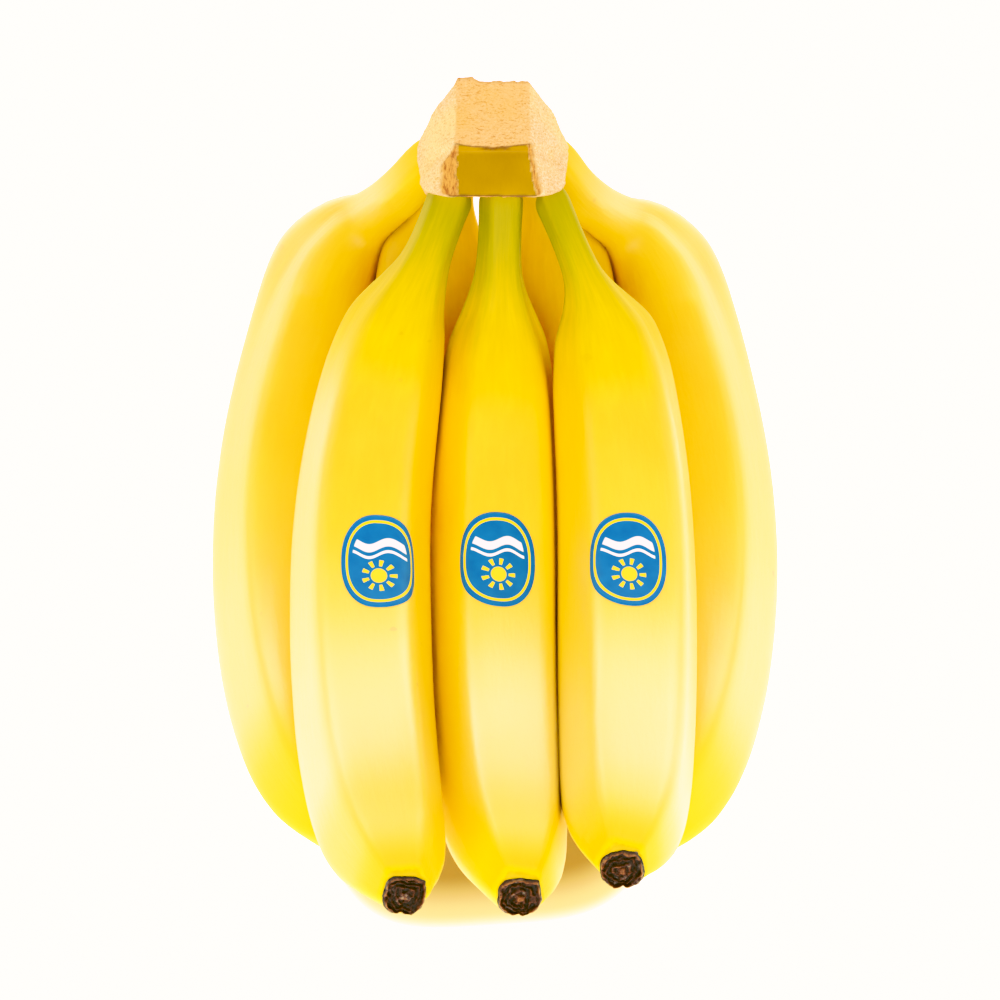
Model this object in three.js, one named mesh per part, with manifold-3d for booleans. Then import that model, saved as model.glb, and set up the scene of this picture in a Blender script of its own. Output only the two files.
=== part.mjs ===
// A bunch of seven bananas on one crown, lying on the backs of its two inner bananas.
// X runs across the bunch, +Y from the blossom ends to the crown, +Z up, towards the inside of the curve.
// Units are millimetres and degrees. The origin is under the middle of the bunch, on the surface it lies on.

import * as THREE from "three";
import { ConvexGeometry } from "three/addons/geometries/ConvexGeometry.js";
import { mergeVertices } from "three/addons/utils/BufferGeometryUtils.js";
import Module from "manifold-3d";

// ---- Driving dimensions --------------------------------------------------------------------------

const GAP = 0.3; // clearance between pieces that touch
const FACETS = 5; // a banana is five-sided, with rounded ridges
const RIDGE_SHARPNESS = 6; // higher is nearer to a true pentagon
const FACE_SHARE = 0.955; // distance of a face's middle from the axis, as a share of the mean radius

// Radius of a banana along its body: [distance from the shoulder, radius]. The stalk is before zero.
const GIRTH = [
  [-45, 6.6],
  [-30, 6.3],
  [-15, 6.0],
  [-5, 6.7],
  [5, 9.4],
  [15, 12.9],
  [30, 15.6],
  [55, 17.4],
  [90, 18.2],
  [125, 18.0],
  [155, 17.0],
  [175, 15.5],
  [188, 13.4],
  [198, 10.6],
  [206, 7.8],
  [212, 6.0],
];

// Below its shoulder a banana swells on the outside of its bend, and the stalk runs on along the inside.
const SHOULDER_SHIFT = 3.2; // most that the body's middle strays outwards
const STALK_SWING = 0.2; // how softly a stalk bends where it meets the body, from 0 to 1

// The middle line is averaged over a short stretch, so that the neck flows into the body.
const SOFTENING = 7; // how far to either side
const SOFTENING_WEIGHTS = [
  [-1, 0.08],
  [-0.6, 0.18],
  [-0.2, 0.24],
  [0.2, 0.24],
  [0.6, 0.18],
  [1, 0.08],
];
const TURNING = 9; // a section is turned to the line over this far to either side
const LEAST_TURNING = 0.5;

// Each banana bends in a plane of its own round its belly, the point where it runs along Y.
//   belly      middle of the section there
//   fan        turn of the bending plane away from upright
//   bend       radius of the body's arc
//   up, down   angle of the arc from the belly to the shoulder, and from the belly to the tip
//   leanUp, leanDown   how far the two ends of the arc stray sideways out of the bending plane
//   tip, curl  length of the tip, and how much further it turns
//   swell, swellPlace   how far the outer side stands out below the shoulder, and how far down that is
//   swellTurn  turn of that swelling away from straight outwards
//   sag        how far the stalk's first stretch hangs off the straight line, across, along and up
//   socket     where the stalk ends inside the crown
//   face       turn of the flat face nearest to the inside of the curve
const BANANAS = [
  {
    name: "front_middle", belly: [-0.2, 1.5, 50.3], fan: 0, bend: 132, up: 35.5, down: 42,
    leanUp: 0.6, leanDown: 4, tip: 24, curl: 8,
    swell: 7.6, swellPlace: 13, swellTurn: 0, sag: [0, 0, 0], socket: [1.6, 103, 92], face: 12,
  },
  {
    name: "front_left", belly: [-36.7, 4.5, 63], fan: -16, bend: 138, up: 33, down: 45,
    leanUp: 9.6, leanDown: -1.5, tip: 24, curl: 7,
    swell: 7.6, swellPlace: 13, swellTurn: 0, sag: [0, 0, 0], socket: [-11.4, 104, 90.5], face: -12,
  },
  {
    name: "front_right", belly: [35.7, 3.2, 62.6], fan: 15, bend: 132, up: 33.5, down: 40.5,
    leanUp: -5.2, leanDown: 5.5, tip: 24, curl: 8,
    swell: 7.6, swellPlace: 13, swellTurn: 0, sag: [0, 0, 0], socket: [13.9, 103, 89.6], face: 23,
  },
  {
    name: "back_inner_left", belly: [-20.9, 16.5, 16.4], fan: -8, bend: 136, up: 46.6, down: 20,
    leanUp: 0.6, leanDown: 0, tip: 24, curl: 10,
    swell: 6.9, swellPlace: 13, swellTurn: 23, sag: [0, 0, 0], socket: [-7.8, 126, 84], face: 28,
  },
  {
    name: "back_inner_right", belly: [20.8, 16.5, 16.4], fan: 6, bend: 136, up: 46.6, down: 20,
    leanUp: -3.9, leanDown: 0, tip: 24, curl: 10,
    swell: 6.2, swellPlace: 13, swellTurn: -26, sag: [0, 0, 0], socket: [4.8, 126, 84], face: -30,
  },
  {
    name: "back_outer_left", belly: [-60.6, 29, 22.6], fan: -29, bend: 150, up: 36.2, down: 35,
    leanUp: 9.4, leanDown: 0.8, tip: 23, curl: 14,
    swell: 15, swellPlace: 12.5, swellTurn: -3, sag: [2, -9, 10], socket: [-18, 116.5, 82.5], face: -15,
  },
  {
    name: "back_outer_right", belly: [59.3, 25.5, 23.2], fan: 29, bend: 150, up: 36.8, down: 34,
    leanUp: -8.5, leanDown: -1.7, tip: 23, curl: 14,
    swell: 13.5, swellPlace: 12.5, swellTurn: 4, sag: [-4, -12, 9], socket: [15.6, 116.5, 82.5], face: 17,
  },
];

const REST_HEIGHT = 0; // the backs of the inner bananas are pressed flat at this height

// The crown is a block of stalk under a wider cut cap. Its middle is a little left of the bunch's.
const CROWN_MIDDLE = -1.2;
// Corners of its right half, [distance from the middle, y, z]; the left half mirrors them.
const CAP_CORNERS = [
  [9.9, 107.3, 105], // front edge of the cut face
  [9.9, 132.6, 97], // back edge of the cut face
  [14.5, 111.7, 100],
  [21.1, 117.9, 86], // widest place
  [19.6, 109.6, 86],
  [10, 134, 84],
  [17, 121, 72],
  [12, 116, 68],
  [16.5, 126, 92],
];
const COLLAR_CORNERS = [
  [11.3, 95.6, 98.6], // lower edge of the face over the front stalks
  [10.3, 107.9, 103.5],
  [14.8, 96.6, 98],
  [18.8, 100, 94.6],
  [20, 104, 91],
  [20, 108, 88],
  [18.5, 108, 76],
  [13, 114, 66],
  [10, 124, 84],
];

// Corners of the cheeks that carry the cap's sides down into the collar's.
const CHEEK_CORNERS = [
  [21.1, 117.9, 86],
  [20.6, 111, 88],
  [20, 107, 90],
  [18.5, 108, 76],
  [17, 121, 72],
  [10, 112, 98],
  [10, 120, 70],
];

// Blossom end: a dried ring with a stub in its middle, [radius, height] from the tip of the fruit.
const BLOSSOM_PROFILE = [
  [0, 0],
  [5.4, 0],
  [5.8, 0.9],
  [5.5, 2.1],
  [4.3, 2.1],
  [3.5, 1.3],
  [1.7, 1.3],
  [1.4, 2.5],
  [0, 2.7],
];

// Sticker: an oval of thin film bent over the skin, on which it has the lift that clears the facets.
const STICKER = { halfWidth: 10.2, halfLength: 13.8, thickness: 0.3, lift: 0.75, squareness: 2.4 };
// Where each one sits: distance past the belly towards the tip, and turn from the inside of the curve.
const STICKERS = [
  { on: "front_left", past: 11, turn: 1 },
  { on: "front_middle", past: 0, turn: 2 },
  { on: "front_right", past: 8.5, turn: 13 },
];

// How finely the pieces are faceted.
const BODY_SIDES = 20;
const BODY_RINGS = 22;
const RING_CROWDING = 0.6; // how much closer the rings stand at the two ends of a body, from 0 to 1
const STALK_RINGS = 5;
const BLOSSOM_SIDES = 10;
const STICKER_SIDES = 24;
const STICKER_RINGS = 3;
// How many straight steps a banana's middle line is made of.
const STALK_STEPS = 12;
const BODY_STEPS = 36;
const TIP_STEPS = 8;
const LENGTH_STEPS = 600; // for measuring its length
const ANGLE_STEP = 0.001; // radians, for finding its direction
const MERGE_DISTANCE = 1e-4; // corners nearer than this are one

// ---- Materials -----------------------------------------------------------------------------------

const SKIN = new THREE.MeshStandardMaterial({ color: 0xf2cf2e, roughness: 0.5, metalness: 0 });
const CUT_STALK = new THREE.MeshStandardMaterial({ color: 0xe0b46a, roughness: 0.9, metalness: 0 });
const DRIED = new THREE.MeshStandardMaterial({ color: 0x3a2416, roughness: 0.8, metalness: 0 });
const FILM = new THREE.MeshStandardMaterial({ color: 0x1566b8, roughness: 0.35, metalness: 0 });

// ---- Helpers -------------------------------------------------------------------------------------

const radians = THREE.MathUtils.degToRad;

// Reads a table of [x, y] rows at x, as a smooth curve through the rows.
function readTable(table, x) {
  const slope = (i) => {
    const before = table[Math.max(i - 1, 0)];
    const after = table[Math.min(i + 1, table.length - 1)];
    return (after[1] - before[1]) / (after[0] - before[0]);
  };
  const at = THREE.MathUtils.clamp(x, table[0][0], table[table.length - 1][0]);
  const found = table.findIndex((row) => row[0] >= at);
  const i = Math.max(found, 1);
  const [x0, y0] = table[i - 1];
  const [x1, y1] = table[i];
  const width = x1 - x0;
  const t = (at - x0) / width;
  const ease = t * t * (3 - 2 * t);
  return (
    y0 * (1 - ease) +
    y1 * ease +
    slope(i - 1) * width * t * (1 - t) * (1 - t) -
    slope(i) * width * t * t * (1 - t)
  );
}

// Skins a closed tube over rings of points, ring by ring, with a fan on each end ring.
function skinRings(rings) {
  const sides = rings[0].length;
  const positions = rings.flat().flatMap((p) => [p.x, p.y, p.z]);
  const indices = [];
  for (let i = 0; i + 1 < rings.length; i++) {
    for (let j = 0; j < sides; j++) {
      const next = (j + 1) % sides;
      const [a, b] = [i * sides + j, i * sides + next];
      const [c, d] = [a + sides, b + sides];
      indices.push(a, c, d, a, d, b);
    }
  }
  const last = (rings.length - 1) * sides;
  for (let j = 1; j + 1 < sides; j++) {
    indices.push(0, j, j + 1);
    indices.push(last, last + j + 1, last + j);
  }
  const geometry = new THREE.BufferGeometry();
  geometry.setAttribute("position", new THREE.Float32BufferAttribute(positions, 3));
  geometry.setIndex(indices);
  geometry.computeVertexNormals();
  return geometry;
}

// ---- Bananas -------------------------------------------------------------------------------------

// The middle line of one banana, with the shape of its skin round it.
class BananaForm {
  constructor(dimensions) {
    this.dimensions = dimensions;
    const fan = radians(dimensions.fan);
    this.inside = new THREE.Vector3(-Math.sin(fan), 0, Math.cos(fan));
    this.side = new THREE.Vector3(Math.cos(fan), 0, Math.sin(fan));
    this.up = radians(dimensions.up);
    this.down = radians(dimensions.down);

    const stalk = this.stalkPoints();
    const body = this.bodyPoints();
    const line = new THREE.CatmullRomCurve3([...stalk, ...body]);
    line.arcLengthDivisions = LENGTH_STEPS;
    this.line = line;
    this.stalkLength = new THREE.CatmullRomCurve3([...stalk, body[0]]).getLength();
    this.bodyLength = line.getLength() - this.stalkLength;
  }

  // A point of the body's arc, at an angle from the belly: below zero towards the shoulder.
  arcPoint(angle) {
    const { belly, bend, leanUp, leanDown } = this.dimensions;
    const share = angle < 0 ? angle / this.up : angle / this.down;
    const lean = (angle < 0 ? leanUp : leanDown) * share * share;
    return new THREE.Vector3(...belly)
      .add(new THREE.Vector3(0, -bend * Math.sin(angle), 0))
      .addScaledVector(this.inside, bend * (1 - Math.cos(angle)))
      .addScaledVector(this.side, lean);
  }

  arcDirection(angle) {
    const before = this.arcPoint(angle - ANGLE_STEP);
    return this.arcPoint(angle + ANGLE_STEP).sub(before).normalize();
  }

  // The stalk leaves its socket straight and swings round to meet the body's shoulder.
  stalkPoints() {
    const start = new THREE.Vector3(...this.dimensions.socket);
    const end = this.arcPoint(-this.up);
    const reach = start.distanceTo(end) / 3;
    const straight = end.clone().sub(start).normalize();
    const swing = new THREE.CubicBezierCurve3(
      start,
      start.clone().addScaledVector(straight, reach).add(new THREE.Vector3(...this.dimensions.sag)),
      end.clone().addScaledVector(this.arcDirection(-this.up), -reach * STALK_SWING),
      end,
    );
    return swing.getPoints(STALK_STEPS).slice(0, -1);
  }

  bodyPoints() {
    const points = [];
    for (let i = 0; i <= BODY_STEPS; i++) {
      points.push(this.arcPoint(THREE.MathUtils.lerp(-this.up, this.down, i / BODY_STEPS)));
    }
    const direction = this.arcDirection(this.down);
    const axis = direction.clone().cross(this.inside).normalize();
    for (let i = 0; i < TIP_STEPS; i++) {
      direction.applyAxisAngle(axis, radians(this.dimensions.curl) / TIP_STEPS);
      const last = points[points.length - 1];
      points.push(last.clone().addScaledVector(direction, this.dimensions.tip / TIP_STEPS));
    }
    return points;
  }

  // How far the line can be followed both ways from here, up to a limit.
  roomAt(along, limit) {
    return Math.max(0, Math.min(limit, along + this.stalkLength, this.bodyLength - along));
  }

  middleAt(along) {
    const room = this.roomAt(along, SOFTENING);
    const total = new THREE.Vector3();
    for (const [share, weight] of SOFTENING_WEIGHTS) {
      const reached = along + share * room + this.stalkLength;
      const u = THREE.MathUtils.clamp(reached / (this.stalkLength + this.bodyLength), 0, 1);
      total.addScaledVector(this.line.getPointAt(u), weight);
    }
    return total;
  }

  // Middle, direction and the two axes of the section at a distance from the shoulder.
  sectionAt(along) {
    const room = this.roomAt(along, TURNING) + LEAST_TURNING;
    const before = this.middleAt(Math.max(along - room, -this.stalkLength));
    const after = this.middleAt(Math.min(along + room, this.bodyLength));
    const direction = after.sub(before).normalize();
    const inwards = direction.clone().cross(this.side).normalize();
    const sideways = inwards.clone().cross(direction);
    const shift = SHOULDER_SHIFT * this.shoulderShare(along);
    const middle = this.middleAt(along).addScaledVector(inwards, -shift);
    return { middle, direction, inwards, sideways };
  }

  // Rises from nothing at the shoulder to one a little below it, then dies away down the body.
  shoulderShare(along) {
    let total = 0;
    for (const [share, weight] of SOFTENING_WEIGHTS) {
      const reached = Math.max(along + share * SOFTENING, 0) / this.dimensions.swellPlace;
      total += reached * Math.exp(1 - reached) * weight;
    }
    return total;
  }

  radiusAt(along) {
    const tableLength = GIRTH[GIRTH.length - 1][0];
    return readTable(GIRTH, along > 0 ? (along * tableLength) / this.bodyLength : along);
  }

  // Share of the radius at an angle round the section: a pentagon with rounded ridges.
  roundness(angle) {
    const face = radians(this.dimensions.face);
    let sum = 0;
    for (let i = 0; i < FACETS; i++) {
      const faceAngle = face + (i * 2 * Math.PI) / FACETS;
      sum += Math.max(0, Math.cos(angle - faceAngle)) ** RIDGE_SHARPNESS;
    }
    return sum ** (-1 / RIDGE_SHARPNESS) * FACE_SHARE;
  }

  // A point of the skin, or of a surface lifted off it.
  skinPoint(along, angle, lift = 0) {
    const { middle, inwards, sideways } = this.sectionAt(along);
    const outer = Math.max(0, -Math.cos(angle - radians(this.dimensions.swellTurn))) ** 2;
    const swell = this.dimensions.swell * this.shoulderShare(along) * outer;
    const radius = this.radiusAt(along) * this.roundness(angle) + swell + lift;
    const point = middle
      .addScaledVector(inwards, radius * Math.cos(angle))
      .addScaledVector(sideways, radius * Math.sin(angle));
    point.z = Math.max(point.z, REST_HEIGHT);
    return point;
  }

  ring(along, lift) {
    const offset = radians(this.dimensions.face);
    const points = [];
    for (let j = 0; j < BODY_SIDES; j++) {
      points.push(this.skinPoint(along, offset + (j * 2 * Math.PI) / BODY_SIDES, lift));
    }
    return points;
  }
}

// One banana: rings down the stalk, then down the body, closer together at its two ends.
function bananaGeometry(form) {
  const rings = [];
  for (let i = 0; i < STALK_RINGS; i++) {
    rings.push(form.ring(-form.stalkLength * (1 - i / STALK_RINGS)));
  }
  for (let i = 0; i <= BODY_RINGS; i++) {
    const t = i / BODY_RINGS;
    const crowded = t - (RING_CROWDING * Math.sin(2 * Math.PI * t)) / (2 * Math.PI);
    rings.push(form.ring(form.bodyLength * crowded));
  }
  return skinRings(rings);
}

// The room that the stalk's upper part takes in the crown, with clearance all round and at its end.
function stalkRoom(form) {
  const top = form.ring(-form.stalkLength, GAP);
  const { direction } = form.sectionAt(-form.stalkLength);
  const end = top.map((p) => p.clone().addScaledVector(direction, -GAP));
  const rings = [end];
  for (let i = 1; i <= STALK_RINGS + 1; i++) {
    rings.push(form.ring(-form.stalkLength * (1 - i / STALK_RINGS), GAP));
  }
  return skinRings(rings);
}

// The dried blossom end, standing on the tip of its banana.
function blossomEnd(form) {
  const profile = BLOSSOM_PROFILE.map(([radius, height]) => new THREE.Vector2(radius, height));
  const mesh = new THREE.Mesh(new THREE.LatheGeometry(profile, BLOSSOM_SIDES), DRIED);
  const { middle, direction } = form.sectionAt(form.bodyLength);
  mesh.quaternion.setFromUnitVectors(new THREE.Vector3(0, 1, 0), direction);
  mesh.position.copy(middle).addScaledVector(direction, GAP);
  return mesh;
}

// A sticker: a polar grid on the skin, closed with a second one a film's thickness above it.
function stickerGeometry(form, past, turn) {
  const { bend } = form.dimensions;
  const belly = bend * form.up;
  const radius = form.radiusAt(belly + past);
  const stretch = bend / (bend - radius); // the middle line is longer than the inside of the bend
  const layer = (lift) => {
    const rings = [];
    for (let i = 1; i <= STICKER_RINGS; i++) {
      const points = [];
      for (let j = 0; j < STICKER_SIDES; j++) {
        const angle = (j * 2 * Math.PI) / STICKER_SIDES;
        const [c, s] = [Math.cos(angle), Math.sin(angle)];
        const power = STICKER.squareness;
        const reach = (Math.abs(c) ** power + Math.abs(s) ** power) ** (-1 / power);
        const share = (reach * i) / STICKER_RINGS;
        const along = belly + past + STICKER.halfLength * stretch * share * s;
        const around = radians(turn) + (STICKER.halfWidth * share * c) / radius;
        points.push(form.skinPoint(along, around, lift));
      }
      rings.push(points);
    }
    return rings;
  };
  const under = layer(STICKER.lift);
  const over = layer(STICKER.lift + STICKER.thickness);
  return skinRings([...under, ...over.reverse()]);
}

// ---- Crown ---------------------------------------------------------------------------------------

function bothHalves(corners) {
  return corners.flatMap(([x, y, z]) => [
    new THREE.Vector3(CROWN_MIDDLE - x, y, z),
    new THREE.Vector3(CROWN_MIDDLE + x, y, z),
  ]);
}

const wasm = await Module();
wasm.setup();

function toSolid(geometry) {
  const bare = geometry.clone();
  bare.deleteAttribute("normal");
  bare.deleteAttribute("uv");
  const merged = mergeVertices(bare, MERGE_DISTANCE);
  return new wasm.Manifold(
    new wasm.Mesh({
      numProp: 3,
      vertProperties: merged.attributes.position.array,
      triVerts: new Uint32Array(merged.index.array),
    }),
  );
}

function toGeometry(solid) {
  const mesh = solid.getMesh();
  const geometry = new THREE.BufferGeometry();
  geometry.setAttribute("position", new THREE.BufferAttribute(mesh.vertProperties, 3));
  geometry.setIndex(new THREE.BufferAttribute(mesh.triVerts, 1));
  geometry.computeVertexNormals();
  return geometry;
}

// Cap, collar and cheeks joined, with a socket for every stalk.
function crownGeometry(forms) {
  const [cap, collar, cheeks] = [CAP_CORNERS, COLLAR_CORNERS, CHEEK_CORNERS].map((corners) =>
    toSolid(new ConvexGeometry(bothHalves(corners))),
  );
  let crown = cap.add(collar).add(cheeks);
  for (const form of forms) {
    crown = crown.subtract(toSolid(stalkRoom(form)));
  }
  return toGeometry(crown);
}

// ---- Assembly ------------------------------------------------------------------------------------

const bunch = new THREE.Group();
const forms = new Map(BANANAS.map((dimensions) => [dimensions.name, new BananaForm(dimensions)]));

function addPiece(name, mesh) {
  mesh.name = name;
  bunch.add(mesh);
}

addPiece("crown", new THREE.Mesh(crownGeometry([...forms.values()]), CUT_STALK));
for (const [name, form] of forms) {
  addPiece(`banana_${name}`, new THREE.Mesh(bananaGeometry(form), SKIN));
  addPiece(`blossom_end_${name}`, blossomEnd(form));
}
for (const { on, past, turn } of STICKERS) {
  addPiece(`sticker_${on}`, new THREE.Mesh(stickerGeometry(forms.get(on), past, turn), FILM));
}

// The origin goes under the middle of the bunch.
bunch.updateMatrixWorld(true);
const box = new THREE.Box3().setFromObject(bunch, true);
const middle = box.getCenter(new THREE.Vector3());
bunch.position.set(-middle.x, -middle.y, -box.min.z);

export default bunch;
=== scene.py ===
"""A bunch of seven ripe bananas on one cut crown, lying on the backs of its two inner bananas.

Sizes are millimetres and degrees in the bunch's own drawing, whose origin ORIGIN places in this frame.
"""

import math

import bmesh
import bpy
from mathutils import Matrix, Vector, noise
from mathutils.bvhtree import BVHTree


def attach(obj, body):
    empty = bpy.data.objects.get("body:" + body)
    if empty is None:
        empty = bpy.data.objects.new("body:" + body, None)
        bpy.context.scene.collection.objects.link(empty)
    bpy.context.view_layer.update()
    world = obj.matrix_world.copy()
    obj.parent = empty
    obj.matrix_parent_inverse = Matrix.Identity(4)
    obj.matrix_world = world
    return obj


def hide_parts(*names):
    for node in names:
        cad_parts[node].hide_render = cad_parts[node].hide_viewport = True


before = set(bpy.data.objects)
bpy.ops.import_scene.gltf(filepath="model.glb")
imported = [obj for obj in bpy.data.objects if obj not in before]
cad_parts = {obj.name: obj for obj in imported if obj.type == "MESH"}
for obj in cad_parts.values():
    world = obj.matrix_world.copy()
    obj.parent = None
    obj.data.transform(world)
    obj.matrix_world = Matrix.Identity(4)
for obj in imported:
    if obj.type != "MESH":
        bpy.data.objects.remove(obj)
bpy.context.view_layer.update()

# ---- Dimensions ----

MM = 0.001
ORIGIN = Vector((-0.701, 9.744, 0.0))  # this frame's origin, in the bunch's drawing

# Peel: five flat faces that meet in soft ridges.
RIDGE_SHARPNESS = 9.0  # a higher value makes the ridges sharper
FACE_SHARE = 0.945  # radius out to a face's middle, as a share of the girth
FACET_TURN = 2 * math.pi / 5
PEEL_SIDES = 80
PEEL_SECTIONS = 230
UNEVENNESS = 0.22 * MM
TIP_STRETCH = 3.0  # the last stretch before the tip has a section every TIP_STEP
TIP_STEP = 0.25
TIP_ROUNDING = 2.4  # the peel rounds over to TIP_GIRTH of its girth under the dried flower
TIP_GIRTH = 0.72
ROOT_ROUNDING = 6.0  # the hidden root ends in a dome of this depth

# Girth of a banana: [distance past the shoulder, radius].
GIRTH = [
    [-45, 6.6], [-30, 6.3], [-15, 6.0], [-5, 6.7], [5, 9.4], [15, 12.9], [30, 15.6], [55, 17.4],
    [90, 18.2], [125, 18.0], [155, 17.0], [175, 15.5], [188, 13.4], [198, 10.6], [206, 7.8],
    [212, 6.0],
]
SHOULDER_SHIFT = 3.2
NECK_STRETCH = (12, -6)  # a banana's own thickness of neck comes in between these distances
FILL_PLACE = -5.0
FILL_SPREAD = 19.0
SHOULDER_ROUNDS = 6  # rounds of softening at the shoulder, and where its hollow is filled out
FILLED_SHOULDER_ROUNDS = 70
CROWN_HEART = Vector((-1.2, 118.0, 86.0))  # the necks run together here
# Each middle line is averaged over this far to either side, with these weights.
SOFTENING = 7.0
SOFTENING_WEIGHTS = ((-1.0, 0.08), (-0.6, 0.18), (-0.2, 0.24), (0.2, 0.24), (0.6, 0.18), (1.0, 0.08))
TURNING = 9.0  # a section is turned to the line over this far to either side
STALK_SWING = 0.2

# One row for each banana; what most of them share is in USUAL.
#   belly, bend      the middle line's outermost point, and the radius of the bend round it
#   fan              how far the plane of the bend is turned outwards
#   up, down         degrees of the bend from the belly to the shoulder, and to where the tip begins
#   lean_up, _down   how far its two ends lean sideways
#   tip, curl        length of the last stretch, and the degrees that it turns
#   swell            how far the shoulder stands out on its outer side, then its place and its turn
#   sag              how far the stalk's first stretch hangs off the straight line
#   socket, rooted   where the stalk enters the crown, and how strongly its root heads for the heart
#   face, neck       turn of the flat faces, and the neck's share of the usual thickness
#   fill, fill_turn  how far the hollow between neck and body is filled out, and on which side
#   wax, green, seed strength of the sheen, green of the neck, and the banana's own marks
USUAL = dict(tip=24, swell_place=13, swell_turn=0, sag=(0, 0, 0), rooted=0.6, neck=1.0, fill=0,
             fill_turn=0, wax=1.0, green=1.0)
BANANAS = [
    dict(USUAL, name="front_middle", belly=(-0.2, 1.5, 50.3), fan=0, bend=132, up=35.5, down=42,
         lean_up=0.6, lean_down=4, curl=8, swell=7.6, socket=(1.6, 103, 92), rooted=0.05, face=12,
         neck=0.97, seed=1),
    dict(USUAL, name="front_left", belly=(-36.7, 4.5, 63), fan=-16, bend=138, up=33, down=45,
         lean_up=9.6, lean_down=-1.5, curl=7, swell=7.6, socket=(-11.4, 104, 90.5), rooted=0.05,
         face=-12, seed=2),
    dict(USUAL, name="front_right", belly=(35.7, 3.2, 62.6), fan=15, bend=132, up=33.5, down=40.5,
         lean_up=-5.2, lean_down=5.5, curl=8, swell=7.6, socket=(13.9, 103, 89.6), rooted=0.05,
         face=23, neck=0.78, seed=3),
    dict(USUAL, name="back_inner_left", belly=(-20.9, 16.5, 16.4), fan=-8, bend=136, up=46.6, down=20,
         lean_up=0.6, lean_down=0, curl=10, swell=8, swell_turn=29, socket=(-7.8, 126, 84), face=28,
         wax=0.35, green=0.35, seed=4),
    dict(USUAL, name="back_inner_right", belly=(20.8, 16.5, 16.4), fan=6, bend=136, up=46.6, down=20,
         lean_up=-3.9, lean_down=0, curl=10, swell=8, swell_turn=-30, socket=(4.8, 126, 84), face=-30,
         wax=0.35, green=0.35, seed=5),
    dict(USUAL, name="back_outer_left", belly=(-60.6, 29, 22.6), fan=-29, bend=150, up=36.2, down=35,
         lean_up=9.4, lean_down=0.8, tip=23, curl=14, swell=15.8, swell_place=12.5, swell_turn=-3,
         sag=(2, -9, 10), socket=(-18, 116.5, 82.5), face=-15, neck=1.04, fill=3.4, fill_turn=22,
         green=0.15, seed=6),
    dict(USUAL, name="back_outer_right", belly=(59.3, 25.5, 23.2), fan=29, bend=150, up=36.8, down=34,
         lean_up=-8.5, lean_down=-1.7, tip=23, curl=14, swell=15, swell_place=12.5, swell_turn=4,
         sag=(-4, -12, 9), socket=(15.6, 116.5, 82.5), face=17, neck=1.04, fill=3.4, fill_turn=-22,
         green=0.15, seed=7),
]
SHADE_REACH = 2.1 * MM  # a peel gets painted shade where another one is nearer than this
SHADE_FALL = 1.3
BACK_SHADE = 0.55  # the painted shade's share on the bananas of the back row

BLOSSOM_RADIUS = 5.55
BLOSSOM_SHIFT = 1.6  # towards the outer side of the bend
BLOSSOM_SQUARENESS = 2.9
BLOSSOM_LOWEST, BLOSSOM_HIGHEST = 0.1, 2.65
BLOSSOM_MIDDLE = 1.0
NOTCH_TURN = math.pi * 1.03
NIB_TURN = 0.8
# Rings of its underside, down to inside the peel: [share of the outline, height].
BLOSSOM_UNDERSIDE = ((0.99, 0.35), (0.95, -0.2), (0.86, -0.9), (0.72, -1.4), (0.0, -0.2))

CROWN_MIDDLE = -1.2
# Corners of the crown's right half, [distance from the middle, y, z].
CAP_CORNERS = [
    [9.9, 107.3, 105], [9.9, 132.6, 97], [14.5, 111.7, 100], [21.1, 117.9, 86], [19.6, 109.6, 86],
    [10, 134, 84], [17, 121, 72], [12, 116, 68], [16.5, 126, 92],
]
COLLAR_CORNERS = [
    [11.3, 95.6, 98.6], [10.3, 107.9, 103.5], [14.8, 96.6, 98], [18.8, 100, 94.6], [20, 104, 91],
    [20, 108, 88], [18.5, 108, 76], [13, 114, 66], [10, 124, 84],
]
CHEEK_CORNERS = [
    [21.1, 117.9, 86], [20.6, 111, 88], [20, 107, 90], [18.5, 108, 76], [17, 121, 72], [10, 112, 98],
    [10, 120, 70],
]
CROWN_GRAIN = 0.5  # size of its mesh's squares
CUT_FRONT = 107.9  # front edge of the sloping cut, where the collar's whole skin begins
COLLAR_DEPTH = 12.3  # and from there to the collar's lower edge
CUT_FACING = Vector((0, 0.302, 0.953))

STICKER_HALF = (10.2, 13.8)
STICKER_SQUARENESS = 2.4
FILM_TOP, FILM_RIM, FILM_UNDER = 0.2, 0.12, 0.04  # heights of the film over the peel
STICKERS = [("front_left", 11, 1), ("front_middle", 0, 2), ("front_right", 8.5, 13)]  # on, past, turn

CAMERA_AIM = Vector((1.48, 18.25, 48.0)) * MM
CAMERA_ELEVATION = math.radians(66)
CAMERA_DISTANCE = 1.1
CAMERA_LENS = 143.35
# Softboxes in metres: name, place, size, brightness.
SOFTBOXES = (
    ("behind_low", (0, 1.0, 0.22), (1.6, 0.4), 1.3),
    ("behind", (0, 0.9, 0.62), (1.6, 0.45), 3.0),
    ("behind_left", (-0.8, 0.9, 0.4), (0.7, 0.6), 1.6),
    ("behind_right", (0.8, 0.9, 0.4), (0.7, 0.6), 2.0),
    ("left", (-1.0, 0.1, 0.5), (0.9, 1.0), 0.42),
    ("right", (1.0, 0.1, 0.5), (0.9, 1.0), 0.42),
    ("front", (0, -1.04, 1.05), (1.5, 0.8), 5.6),
    ("front_far", (0, -1.5, 1.0), (2.4, 0.8), 2.4),
)
SOFTBOX_AIM = Vector((0, 0, 0.05))
ROOM_BRIGHTNESS = 0.15
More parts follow.
